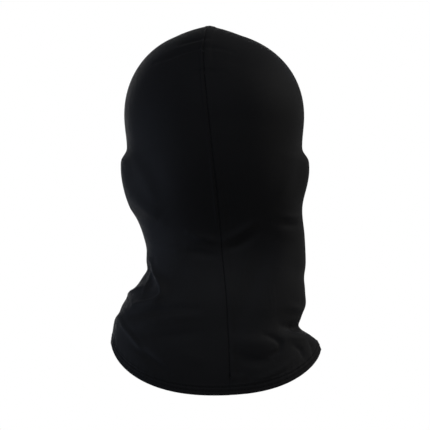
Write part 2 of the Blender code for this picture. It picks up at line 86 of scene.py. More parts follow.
def through(knots, at):
    """A smooth curve through the knots: cubics whose slopes come from each knot's neighbours."""
    known = np.array(sorted(knots), float)
    x, y = known[:, 0], known[:, 1]
    slope = np.zeros(len(x))
    slope[1:-1] = (y[2:] - y[:-2]) / (x[2:] - x[:-2])
    at = np.clip(np.asarray(at, float), x[0], x[-1])
    i = np.clip(np.searchsorted(x, at) - 1, 0, len(x) - 2)
    span = x[i + 1] - x[i]
    t = (at - x[i]) / span
    return ((1 + 2 * t) * (1 - t) ** 2 * y[i] + t * (1 - t) ** 2 * span * slope[i]
            + t * t * (3 - 2 * t) * y[i + 1] + t * t * (t - 1) * span * slope[i + 1])


def ease(low, high, at):
    """Rises from 0 at low to 1 at high, level at both ends."""
    t = np.clip((at - low) / (high - low), 0, 1)
    return t * t * (3 - 2 * t)


def by_side(sizes, angle):
    """The value of the side an angle lies on: +1 is the wearer's left."""
    return np.where(np.sin(angle) >= 0, sizes[+1], sizes[-1])


def height_at(level, angle):
    """Rows are level on the head and run parallel to the hem near it; between, they blend."""
    climb = ((np.abs(np.cos(angle)) ** 3 + SHOULDER_ROUND**3) / (1 + SHOULDER_ROUND**3)) ** (1 / 3)
    hem = HEM_LEVEL + by_side(SHOULDER_RISE, angle) * (1 - climb ** by_side(SHOULDER_POWER, angle))
    share = (level - NECK_TOP) / (HEM_LEVEL + HEM_ZONE - NECK_TOP)
    between = NECK_TOP + share * (hem + HEM_ZONE - NECK_TOP)
    near_hem = hem + level - HEM_LEVEL
    low = np.where(level >= HEM_LEVEL + HEM_ZONE, between, near_hem)
    return np.where(level >= NECK_TOP, level, low)


def extents(z):
    """A cross-section's centre and its left, right, back and front sizes; a superellipse dome on top."""
    rise = np.clip((z - WIDEST) / (DOME_TOP - WIDEST), 0, 1)
    dome = (1 - rise**DOME_POWER) ** (1 / DOME_POWER)
    low = np.minimum(z, WIDEST)
    centre = CROWN_X * np.exp(np.minimum(z - DOME_TOP, 0) / CROWN_LEAN)
    return [centre] + [dome * through(knots, low) for knots in (LEFT, RIGHT, BACK, FRONT)]


def beside_seam(point):
    """Distance to the wearer's right of the nearest seam: the back one behind, the front one before."""
    x, y, z = np.moveaxis(point, -1, 0)
    behind = ease(-25, 25, y)
    return behind * through(BACK_SEAM_X, z) + (1 - behind) * through(FRONT_SEAM_X, z) - x


def skin(angle, level):
    """The smooth shape. A superellipse for each height, plus ears, nose, chin and the collar's kick."""
    angle, level = np.broadcast_arrays(np.asarray(angle, float), np.asarray(level, float))
    z = height_at(level, angle)
    centre, left, right, back, front = extents(z)
    sine, cosine = np.sin(angle), np.cos(angle)
    power = 2 / through(ROUNDNESS, np.minimum(z, WIDEST))
    x = centre + np.where(sine >= 0, left, right) * np.sign(sine) * np.abs(sine) ** power
    y = np.where(cosine >= 0, back, front) * np.sign(cosine) * np.abs(cosine) ** power
    turn, lift = np.abs(np.arctan2(sine, cosine)), z - EAR_LEVEL
    fade = np.where(lift > 0, (lift / EAR_UPPER) ** 4, (lift / by_side(EAR_LOWER, angle)) ** 2)
    ear = by_side(EAR_PROUD, angle) * np.exp(-fade - ((turn - EAR_TURN) / EAR_SPREAD) ** 2)
    x = x + np.sign(sine) * ear
    kick = COLLAR_KICK * (1 - ease(-277, -264, z)) * np.abs(sine) ** 8
    x = x - np.where(sine < 0, kick, 0)
    face = sum(proud * np.exp(-(x / wide) ** 2 - ((z - height) / tall) ** 2)
               for height, proud, wide, tall in FACE_BUMPS)
    y = y - np.where(cosine < 0, face, 0)
    point = np.stack([x, y, z], -1)
    out = point - np.array([0, 0, HEAD_MIDDLE])
    # The taut seam lifts the crown into a low ridge that dies away to each side.
    near = np.maximum(1 - np.abs(beside_seam(point)) / RIDGE_REACH, 0)
    ridge = -DOME_TOP * near**1.3 * ease(-70, DOME_TOP, z)
    return point + out / np.linalg.norm(out, axis=-1, keepdims=True) * ridge[..., None]


def outward(surface, angle, level):
    """Unit normals of a surface given as a function of angle and level, by small steps."""
    low = np.minimum(level, DOME_TOP - 0.1)
    along = surface(angle + 1e-3, low) - surface(angle - 1e-3, low)
    down = surface(angle, low - 0.05) - surface(angle, low + 0.05)
    normal = np.cross(along, down)
    return normal / np.maximum(np.linalg.norm(normal, axis=-1, keepdims=True), 1e-12)


# Folds by the side they are looked at from: (path, height, half width), and "sharp" for a pointed crest.
# A path is (sideways, height) on the back and front, (depth, height) on the left and right.
FOLDS = {"back": [
    # puckers that the taut crown seam draws across itself
    ([(52, -33), (38, -28), (25, -23), (10, -19.5), (-3, -20), (-16, -23.5)], -1.2, 1.6),
    ([(48, -27), (30, -20), (14, -15.5), (2, -15)], 0.7, 2.4),
    ([(30, -17.5), (20, -14.5), (10, -12.2), (4, -12.5)], -0.8, 1.5),
    ([(24, -42), (12, -40), (4, -39.3), (-4, -39.6), (-10, -41)], -1.5, 1.6),
    ([(-6, -29), (-20, -34), (-36, -37)], -0.41, 3.5),
    # the knit tents from the rim of each ear back to the skull
    ([(74, -109), (67, -121), (60.5, -134), (55, -148), (51, -161)], 0.94, 5.0),
    ([(62, -112), (54, -126), (47, -141), (42, -154)], -0.94, 9.0),
    ([(-74, -110), (-68, -124), (-62, -139), (-57, -152)], 0.68, 5.0),
    ([(-63, -112), (-56, -128), (-49, -144)], -0.81, 9.0),
    ([(72, -147), (64, -155), (55, -163), (46, -170)], 2.0, 5.0),
    # nape, on both sides of the seam
    ([(-9, -187), (-18, -183), (-27, -177), (-36, -171)], 2.2, 3.4),
    ([(-9, -196), (-20, -193), (-30, -187), (-38, -181)], -2.1, 3.4),
    ([(22, -181), (14, -184), (4, -187), (-5, -189)], 2.0, 3.2),
    ([(27, -196), (18, -198), (9, -199.5), (-1, -201)], -2.0, 3.6),
    ([(36, -190), (46, -192), (54, -196)], 1.08, 3.6),
    ([(-55, -173), (-64, -174), (-74, -174)], -1.2, 3.4),
    ([(-58, -166), (-66, -167), (-76, -168)], 0.81, 3.0),
    ([(-48, -186), (-42, -204), (-33, -227), (-24, -250), (-19, -264)], -2.56, 9.0),
    ([(-62, -186), (-58, -206), (-52, -230), (-46, -250)], 1.22, 8.0),
    ([(-2, -206), (-12, -222), (-15, -244)], 0.94, 5.0),
    ([(24, -206), (30, -222), (34, -238)], -1.22, 7.0),
    # the tuck where the neck bunches above the collar, with the hollow it folds over
    ([(60, -198), (57, -205), (53.5, -213.5), (48.5, -221.5), (44.6, -229), (44.6, -235.5),
      (50, -240), (58, -242), (71, -243.5)], 4.32, 2.2, "sharp"),
    ([(57, -208), (59, -221), (62, -236)], 1.62, 1.6, "sharp"),
    ([(60, -204), (58.5, -214), (57, -223), (58, -234)], -3.92, 6.0),
    ([(42, -244), (50, -248), (62, -250)], -1.08, 3.6),
    ([(-60, -236), (-30, -240), (0, -241), (30, -240), (48, -238)], 3.51, 20.0),
    ([(-56, -194), (-24, -196), (0, -197), (24, -196), (44, -193)], -1.35, 13.0),
    # left side of the collar
    ([(80, -252), (70, -252), (52, -248.5), (34, -247), (16, -248)], -2.8, 3.6),
    ([(70, -262), (56, -258.5), (38, -255), (14, -253)], 2.0, 4.6),
    ([(58, -272), (44, -271), (30, -269.5), (14, -268)], -1.8, 4.4),
    ([(70, -279), (58, -288), (48, -296), (40, -303)], -1.9, 3.4),
    ([(84, -254), (79, -263), (72, -271), (63, -285)], 1.49, 2.2),
    ([(30, -284), (18, -290), (6, -293)], 0.94, 6.0),
    # right side of the collar and its kick over the shoulder
    ([(-14, -273), (-28, -276), (-42, -277), (-52, -275)], 2.1, 6.5),
    ([(-44, -270), (-52, -272.5), (-58, -277), (-57, -283), (-50, -287)], -2.2, 2.4),
    ([(-19, -286), (-30, -291), (-42, -292), (-52, -289)], -2.3, 4.6),
    ([(-32, -310), (-46, -306), (-60, -298), (-68, -291)], 1.4, 2.6),
    ([(-60, -262), (-68, -263.5), (-75, -263), (-82, -260)], -4.05, 3.6),
    ([(-62, -271.5), (-70, -272.5), (-78, -272), (-86, -270)], 2.16, 2.8, "sharp"),
    ([(-70, -279), (-76, -283), (-79, -291)], -1.76, 2.0),
    ([(-82, -274), (-86, -280), (-87, -288)], -1.35, 1.8),
    ([(-66, -245), (-73, -248), (-80, -247)], 1.22, 3.6),
], "left": [
    ([(30, -206), (10, -212), (-15, -214), (-38, -210)], -2.16, 5.0),
    ([(34, -226), (12, -233), (-14, -236), (-42, -232)], 2.97, 4.0, "sharp"),
    ([(30, -244), (8, -249), (-20, -250), (-46, -246)], -2.16, 5.0),
], "right": [
    ([(36, -262), (12, -261), (-14, -262), (-40, -266)], -3.51, 4.2),
    ([(30, -214), (6, -220), (-22, -221), (-44, -214)], -1.62, 8.0),
    ([(26, -238), (2, -243), (-26, -242)], 1.62, 7.0),
], "front": [
    # front of the neck and the cloth that bridges from the nose over the mouth to the chin
    ([(0, -176), (14, -180), (30, -190), (44, -204)], 1.35, 5.0),
    ([(0, -176), (-14, -180), (-30, -190), (-44, -204)], 1.35, 5.0),
    ([(-26, -178), (0, -184), (26, -178)], -1.89, 8.0),
    ([(20, -160), (38, -166), (56, -164)], -1.35, 6.0),
    ([(-20, -160), (-38, -166), (-56, -164)], -1.35, 6.0),
    ([(-46, -226), (-20, -232), (10, -233), (42, -227)], -2.97, 5.0),
    ([(-52, -238), (-24, -245), (8, -246), (46, -239)], 2.56, 4.6, "sharp"),
    ([(-48, -256), (-18, -262), (14, -261), (44, -254)], -2.16, 6.0),
    ([(-30, -276), (-22, -292), (-20, -308)], 1.62, 7.0),
    ([(34, -272), (38, -288), (34, -304)], -1.62, 8.0),
]}
SEEN_FROM = {"back": (0, 1, +1), "front": (0, 1, -1), "left": (1, 0, +1), "right": (1, 0, -1)}


def distances(line):
    """How far along a line of points each of them lies."""
    return np.concatenate([[0], np.cumsum(np.linalg.norm(np.diff(line, axis=0), axis=1))])


def at_distance(station, run, values):
    """Values, one row for each distance in run, read off at other distances along the same line."""
    return np.stack([np.interp(station, run, column) for column in values.T], -1)


def fold(path, height, half_width, sharp, across, z):
    """A bump along a path, thinning at its ends: a bell of the distance to it, or a pointed crest."""
    knots = np.array(path, float)
    run = distances(knots)
    line = at_distance(np.linspace(0, run[-1], 33), run, knots)
    line[1:-1] = (line[:-2] + 2 * line[1:-1] + line[2:]) / 4
    far = (across[:, None] - line[:, 0]) ** 2 + (z[:, None] - line[:, 1]) ** 2
    nearest = far.argmin(1)
    distance = np.sqrt(far[np.arange(len(z)), nearest]) / half_width
    bell = np.exp(-np.sqrt(distance**2 + 0.04) * 1.25 + 0.25) if sharp else np.exp(-distance**2)
    return height * bell * np.sin(np.pi * np.clip(nearest / 32, 0.06, 0.94)) ** 0.6


def relief(point, level):
    """How far folds, the seams and the stitched hem move the cloth outwards from the smooth shape."""
    flat = point.reshape(-1, 3)
    x, y, z = flat.T
    total = np.zeros(len(flat))
    every = [(SEEN_FROM[view], *bump) for view in FOLDS for bump in FOLDS[view]]
    for (across_axis, depth_axis, side), path, height, half_width, *sharp in every:
        knots = np.array(path)
        across = flat[:, across_axis]
        reach = 3 * half_width
        near = ((across > knots[:, 0].min() - reach) & (across < knots[:, 0].max() + reach)
                & (z > knots[:, 1].min() - reach) & (z < knots[:, 1].max() + reach)
                & (side * flat[:, depth_axis] > 0))
        if near.any():
            facing = ease(0, 18, side * flat[near, depth_axis])
            total[near] += facing * fold(path, height, half_width, bool(sharp), across[near], z[near])
    rear = y >= 0
    aside = beside_seam(flat)
    worked = ease(HEM_LEVEL + 10, HEM_LEVEL + 16, level.reshape(-1))
    worked = worked * np.where(rear, 1, 1 - ease(-158, -152, z) * (1 - ease(-66, -60, z)))
    # Both allowances lie to the wearer's right, so that side stands higher by their thickness.
    total += 0.55 * worked * ease(-1.0, 0.8, aside) * (1 - ease(4.4, 7.0, aside))
    # The other panel rolls up beside the groove, more on the skull than on the neck.
    roll = 0.4 + 0.6 * ease(-200, -150, z) - 0.7 * ease(-20, -6, z)
    total += roll * worked * np.exp(-((aside + 2.5) / 1.1) ** 2)
    total += 0.35 * worked * (1 - ease(-250, -215, z)) * np.exp(-((aside - 3.4) / 1.6) ** 2)
    # Two stitch rows pinch the hem; the turned-up edge shows as a faint step above them.
    above = level.reshape(-1) - HEM_LEVEL
    upper, lower = [np.exp(-((above - row) / 0.9) ** 2) for row in (UPPER_ROW, LOWER_ROW)]
    total -= 0.55 * upper + 0.3 * lower
    total -= 0.45 * ease(8.2, 10.0, above) * (1 - ease(18, 40, above))
    around = np.arctan2(x, y)
    pucker = np.sin(around * 61 + 1.3 * np.sin(around * 7)) * np.exp(-((above - 7.5) / 6) ** 2)
    total += 0.16 * pucker
    # The allowances fold up with the hem and thicken it beside the seam.
    total += 0.9 * rear * (1 - ease(15, 19, above)) * ease(-0.6, 0.6, aside) * (1 - ease(12, 15, aside))
    return total.reshape(point.shape[:-1])


def worn(angle, level):
    """The cloth as worn: the smooth shape with its relief laid on along the normals."""
    angle, level = np.broadcast_arrays(np.asarray(angle, float), np.asarray(level, float))
    smooth = skin(angle, level)
    return smooth + relief(smooth, level)[..., None] * outward(skin, angle, level)


# ==== The two panels ====
# Each panel is one piece of black polyester-elastane single jersey, cut as the side view of
# head and neck and stretched by about a fifth when worn. The two are overlocked together
# over the crown and down the back, and again below the mouth; the lower edge is turned up once.
CLOTH, GAP = 0.8, 0.3
ALLOWANCE = 5.0  # both allowances lie towards the wearer's right
HEM_TURN = 8.5
LAP = 2 * CLOTH + GAP  # from the outside of the cloth to the outside of the layer folded under it
FOLD_RADIUS = LAP / 2
SLIT = 0.06  # half the slit between the rolled edges
BROW_END, CHIN_START = -63, -155
EYE_HEIGHT, EYE_HALF_WIDTH, EYE_HALF_HEIGHT, EYE_POWER = -112.0, 74.0, 27.0, 2.5
NOSE_RISE, NOSE_REACH = 5.0, 17.0
RAW_EDGE = 1.2  # the cut edge stops this far outside the opening's finished edge, inside the binding
EDGE_POINTS, ROLL_POINTS = 10, 7  # points across each edge of a panel, and those of them on its rolled part


def seam_angle(level, front):
    """The angle at which a seam crosses each row, from the seam's sideways place at that height."""
    z = height_at(level, np.full_like(level, math.pi if front else 0.0))
    centre, left, right, _, _ = extents(z)
    aside = through(FRONT_SEAM_X if front else BACK_SEAM_X, z) - centre
    half = np.maximum(np.where(aside > 0, left, right), 1e-6)
    power = through(ROUNDNESS, np.minimum(z, WIDEST))
    lean = np.copysign(np.arcsin(np.minimum(1, np.abs(aside) / half) ** (power / 2)), aside)
    lean = np.where(level > DOME_TOP - 1e-6, 0.0, lean)
    return math.pi - lean if front else lean


def seam_frame(level, front):
    """Angle, angle per millimetre along the row, and normal of a seam at each level."""
    angle = seam_angle(level, front)
    run = np.linalg.norm(skin(angle + 1e-3, level) - skin(angle, level), axis=-1)
    turn = 1e-3 / np.maximum(run, 1e-6)
    flank = np.where(turn < 1, 2 * turn, 0)
    normal = outward(skin, angle - flank, level) + outward(skin, angle + flank, level)
    normal[level > DOME_TOP - 0.3] = (0, 0, 1)
    return angle, turn, normal / np.linalg.norm(normal, axis=-1, keepdims=True)


def from_above(x, y):
    """Angle and level of the crown's point above a place in plan, by solving the dome's superellipse."""
    half_left, half_back, half_front = HEAD_HALF, BACK[0][1], FRONT[0][1]
    depth = np.where(y >= 0, half_back, half_front)
    z = np.full_like(x, DOME_TOP)
    for _ in range(12):
        centre = CROWN_X * np.exp((z - DOME_TOP) / CROWN_LEAN)
        wide = (np.abs(x - centre) / half_left) ** DOME_POWER
        deep = (np.abs(y) / depth) ** DOME_POWER
        rise = np.maximum(1 - wide - deep, 0) ** (1 / DOME_POWER)
        z = WIDEST + rise * (DOME_TOP - WIDEST)
    return np.arctan2(np.sign(x - centre) * np.sqrt(wide), np.sign(y) * np.sqrt(deep)), z


def beside(seam, level, aside, front):
    """Angle and level of places that lie aside, to the wearer's right, of a seam.

    Along the row on the head and neck; straight across in plan near the pole of the crown."""
    angle, turn, _ = seam
    along_row = angle[:, None] + (1 if front else -1) * aside * turn[:, None]
    level = np.broadcast_to(level[:, None], aside.shape)
    foot = skin(angle, level[:, 0])
    crown_angle, crown_level = from_above(foot[:, :1] - aside, foot[:, 1:2] + 0 * aside)
    near = level > -25
    if front:
        crown_angle = np.where(crown_angle < 0, crown_angle + 2 * math.pi, crown_angle)
    return np.where(near, crown_angle, along_row), np.where(near, crown_level, level)


def corner_profile(is_left, share, squeeze):
    """(aside, depth) of the panel's edge, from the outside of the cloth to the end of its allowance.

    share is 1 where the allowance is full, 0 where the panels only meet edge to edge; squeeze narrows it
    near the crown. The right panel rolls back under itself, the left one passes below both layers."""
    bend, quarter = np.linspace(0, math.pi, ROLL_POINTS), np.linspace(0, math.pi / 2, 4)
    if is_left:
        floor = LAP + GAP
        aside = [*(-SLIT - CLOTH * (1 - np.sin(quarter))), -SLIT, -SLIT, -SLIT, 1.0, 3.0, ALLOWANCE]
        depth = [*(CLOTH * (1 - np.cos(quarter))), 1.25, 1.7, 2.1, floor, floor, floor]
    else:
        fin = 1.3 + (ALLOWANCE - 1.3) * np.linspace(0, 1, 4)[1:]
        aside = [*(SLIT + FOLD_RADIUS * (1 - np.sin(bend))), *fin]
        depth = [*(FOLD_RADIUS * (1 - np.cos(bend))), LAP, LAP, LAP]
    plain = np.linspace(aside[0], 0.0, EDGE_POINTS)
    # Where a seam ends its allowance narrows to nothing first, and only then rises to the cloth.
    wide, deep = np.clip(2 * share[:, None] - 1, 0, 1), np.clip(2 * share[:, None], 0, 1)
    squeeze = squeeze[:, None]
    short = np.where(np.arange(EDGE_POINTS) < ROLL_POINTS, squeeze, 1)
    across = wide * np.array(aside) * short + (1 - wide) * plain * squeeze
    return across, deep * np.array(depth) + 0 * squeeze


NEAR = np.array([1.7, 2.5, 3.4, 4.4, 5.6, 7.0])  # columns that stay at a distance from the seam
BODY_COLUMNS, TOWARDS_BACK = 118, 0.42  # columns between the two, and how much they crowd to the back


def panel_rows():
    """Levels and depths of the rows: evenly down the back, round the fold, and up inside the hem."""
    fine = np.linspace(DOME_TOP, HEM_LEVEL + 12, 4000)
    profile = skin(seam_angle(fine, False), fine)
    run = distances(profile)
    stations = np.concatenate([[0, 0.5, 1.0, 1.6], np.linspace(2.4, run[-1], 276)])
    body = np.interp(stations, run, fine)
    for edge in (EYE_HALF_HEIGHT + RAW_EDGE, NOSE_RISE - EYE_HALF_HEIGHT - RAW_EDGE):
        body[np.abs(body - EYE_HEIGHT - edge).argmin()] = EYE_HEIGHT + edge
    hem = np.linspace(HEM_LEVEL + 12, HEM_LEVEL + FOLD_RADIUS, 18)[1:]
    bend = np.linspace(0, math.pi, 9)[1:]
    fold_level = HEM_LEVEL + FOLD_RADIUS * (1 - np.sin(bend))
    inside = np.linspace(HEM_LEVEL + FOLD_RADIUS, HEM_LEVEL + HEM_TURN, 8)[1:]
    level = np.concatenate([body, hem, fold_level, inside])
    depth = np.concatenate([0 * body, 0 * hem, FOLD_RADIUS * (1 - np.cos(bend)), 0 * inside + LAP])
    return level, depth


def face_distance(sideways, z, grow):
    """Distance to the face opening's outline, below 0 inside it, and the offset from it along and up.

    The outline is a superellipse, lifted over the nose and grown by a margin: value / |gradient|."""
    def value(s, h):
        """(|s / width|^power + |(h - middle - lift) / height|^power)^(1 / power) - 1"""
        lift = NOSE_RISE * np.exp(-(s / NOSE_REACH) ** 2) * ease(EYE_HEIGHT + 6, EYE_HEIGHT - 6, h)
        wide = np.abs(s / (EYE_HALF_WIDTH + grow)) ** EYE_POWER
        tall = np.abs((h - EYE_HEIGHT - lift) / (EYE_HALF_HEIGHT + grow)) ** EYE_POWER
        return (wide + tall) ** (1 / EYE_POWER) - 1
    here = value(sideways, z)
    slope_s = (value(sideways + 0.05, z) - value(sideways - 0.05, z)) / 0.1
    slope_z = (value(sideways, z + 0.05) - value(sideways, z - 0.05)) / 0.1
    steep = np.maximum(slope_s**2 + slope_z**2, 1e-9)
    return here / np.sqrt(steep), here * slope_s / steep, here * slope_z / steep


def cut_face(angle, level, start):
    """Draws the columns and rows that pass closest to the opening's outline onto it.

    Returns the moved angles and levels, and which points are left outside the opening."""
    step = np.linalg.norm(np.diff(skin(angle, level), axis=1), axis=-1)
    sideways = start + np.concatenate([np.cumsum(step[:, ::-1], 1)[:, ::-1], 0 * start], 1)
    per_mm = np.gradient(angle, axis=1) / np.minimum(np.gradient(sideways, axis=1), -1e-6)
    apart = [np.maximum(np.abs(np.gradient(what, axis=k)), 1e-6) for what, k in ((sideways, 1), (level, 0))]
    distance, move_s, move_z = face_distance(sideways, level, RAW_EDGE)
    close = np.abs(move_s) / apart[0] + np.abs(move_z) / apart[1] < 0.5
    close &= np.abs(level - EYE_HEIGHT) < EYE_HALF_HEIGHT + 5
    close &= np.sin(angle) ** 2 + (np.cos(angle) < 0) > 0.2
    before = (np.cos(angle) < 0) & (distance < 0) & (np.abs(level - EYE_HEIGHT) < EYE_HALF_HEIGHT + 5)
    return (np.where(close, angle - move_s * per_mm, angle), np.where(close, level - move_z, level),
            close | ~before)


def make_piece(name, points, faces, uv=None):
    """A smooth-shaded mesh object from points in millimetres and faces, with one UV per point."""
    mesh = bpy.data.meshes.new(name)
    mesh.from_pydata(((np.reshape(points, (-1, 3)) + (0, 0, CROWN_STACK)) * MM).tolist(), [], faces)
    mesh.shade_smooth()
    if uv is not None:
        corner = np.empty(len(mesh.loops), np.int32)
        mesh.loops.foreach_get("vertex_index", corner)
        layer = mesh.uv_layers.new(name="cloth")
        layer.data.foreach_set("uv", np.reshape(uv, (-1, 2))[corner].astype(np.float32).ravel())
    piece = bpy.data.objects.new(name, mesh)
    bpy.context.scene.collection.objects.link(piece)
    return piece


def thicken(piece, thickness, offset):
    """Gives a single layer its real thickness: inwards for offset -1, to both sides for 0."""
    solid = piece.modifiers.new("thickness", "SOLIDIFY")
    solid.thickness, solid.offset = thickness * MM, offset


def grid_faces(rows, columns, flip, wrap=False):
    """Four-sided faces of a grid of points; wrapped ones also join the last row to the first."""
    i, j = np.meshgrid(np.arange(rows if wrap else rows - 1), np.arange(columns - 1), indexing="ij")
    below = (i + 1) % rows
    ring = [i * columns + j, i * columns + j + 1, below * columns + j + 1, below * columns + j]
    return np.stack(ring[::-1] if flip else ring, -1)


WALE_AXIS = -100  # the height of the line from ear to ear that the knit's pattern is laid round


def wale_places(point):
    """Where the flat panel's wales and courses lie: round the ear over the crown, upright below it.

    Distance from the ear's axis along the surface, in the direction seen from the side."""
    x, y, z = np.moveaxis(point, -1, 0)
    lift = z - WALE_AXIS
    up = np.maximum(lift, 0)
    radius = np.maximum(np.hypot(y, up), 1e-6)
    arc = HEAD_RADIUS * np.arctan2(radius, np.abs(x))
    return np.stack([arc * y / radius, arc * up / radius + np.minimum(lift, 0)], -1) * MM


def panel(name, is_left):
    """The whole panel as one grid, from the crown to the hem and up inside it.

    Across, it runs: allowance, rolled edge, body, rolled edge, allowance."""
    level, row_depth = panel_rows()
    back, front = seam_frame(level, False), seam_frame(level, True)
    side = 1 if is_left else -1
    start, end = back[0], front[0] - (0 if is_left else 2 * math.pi)
    fan = skin(np.linspace(start, end, 40), level[None, :])
    half_ring = np.linalg.norm(np.diff(fan, axis=0), axis=-1).sum(0)
    full = (level - HEM_LEVEL - HEM_ZONE) / 4
    share_back = np.clip(np.where(row_depth > 0, 0, full), 0, 1)
    share_front = share_back * np.clip(np.maximum((level - BROW_END) / 3, (CHIN_START - level) / 3), 0, 1)
    edge = SLIT + (CLOTH if is_left else FOLD_RADIUS)
    squeeze = np.minimum(1, 0.4 * half_ring / edge)
    rest = np.clip((0.4 * half_ring - edge * squeeze) / (NEAR[-1] - edge), 0.0, 1)
    near = (edge * squeeze)[:, None] + (NEAR - edge) * rest[:, None]
    first = start + side * near[:, -1] * back[1]
    last = end - side * near[:, -1] * front[1]
    t = np.linspace(0, 1, BODY_COLUMNS + 2)[1:-1]
    t = t - TOWARDS_BACK * t * (1 - t)
    body = first[:, None] + (last - first)[:, None] * t
    angles = [start[:, None] + side * near * back[1][:, None], body,
              end[:, None] - side * near[:, ::-1] * front[1][:, None]]
    middle = np.concatenate(angles, 1)
    middle_level = np.broadcast_to(level[:, None], middle.shape).copy()
    middle, middle_level, keep = cut_face(middle, middle_level, near[:, :1])
    flat = skin(middle, middle_level)
    point = flat + relief(flat, middle_level)[..., None] * outward(skin, middle, middle_level)
    point -= row_depth[:, None, None] * outward(skin, middle, middle_level)
    edges, smooth = [], []
    for seam, share, is_front in ((back, share_back, False), (front, share_front, True)):
        aside, depth = corner_profile(is_left, share, squeeze)
        angle, here = beside(seam, level, aside, is_front)
        depth = depth + row_depth[:, None]
        edges.append(worn(angle, here) - depth[..., None] * seam[2][:, None])
        smooth.append(skin(angle, here))
    points = np.concatenate([edges[0][:, ::-1], point, edges[1]], 1)
    smooth = np.concatenate([smooth[0][:, ::-1], flat, smooth[1]], 1)
    edge_kept = np.ones((len(level), EDGE_POINTS), bool)
    keep = np.concatenate([edge_kept, keep, edge_kept], 1)
    # The front edge between brow and mouth lies inside the opening too.
    inside = face_distance(0 * level, level, RAW_EDGE)[0] < -1e-6
    keep[inside, -EDGE_POINTS:] = False
    faces = grid_faces(*points.shape[:2], flip=not is_left).reshape(-1, 4)
    kept = keep.reshape(-1)[faces]
    cut = faces[kept.sum(1) == 3]
    corners = cut[kept[kept.sum(1) == 3]].reshape(-1, 3)
    thing = make_piece(name, points, faces[kept.all(1)].tolist() + corners.tolist(), wale_places(smooth))
    shape = bmesh.new()
    shape.from_mesh(thing.data)
    bmesh.ops.remove_doubles(shape, verts=shape.verts, dist=2e-6)
    bmesh.ops.delete(shape, geom=[v for v in shape.verts if not v.link_faces], context="VERTS")
    shape.to_mesh(thing.data)
    shape.free()
    thicken(thing, CLOTH, -1)
    return thing


def colour(code):
    """An sRGB hex colour as the linear one that shaders take."""
    part = np.array([int(code[k:k + 2], 16) for k in (1, 3, 5)]) / 255
    linear = np.where(part <= 0.04045, part / 12.92, ((part + 0.055) / 1.055) ** 2.4)
    return (*linear.tolist(), 1.0)


def add(tree, kind, sockets=None, **settings):
    """Adds a node with its settings; each socket is given a value or linked from another node's output."""
    made = tree.nodes.new(kind)
    for key, value in settings.items():
        setattr(made, key, value)
    for key, value in (sockets or {}).items():
        if isinstance(value, bpy.types.NodeSocket):
            tree.links.new(value, made.inputs[key])
        else:
            made.inputs[key].default_value = value
    return made


def new_material(name, **sockets):
    """A Principled material with these values on its uniform sockets; returns it, its tree and shader."""
    material = bpy.data.materials.new(name)
    material.use_nodes = True
    tree = material.node_tree
    shader = tree.nodes["Principled BSDF"]
    for key, value in sockets.items():
        shader.inputs[key.replace("_", " ")].default_value = value
    return material, tree, shader


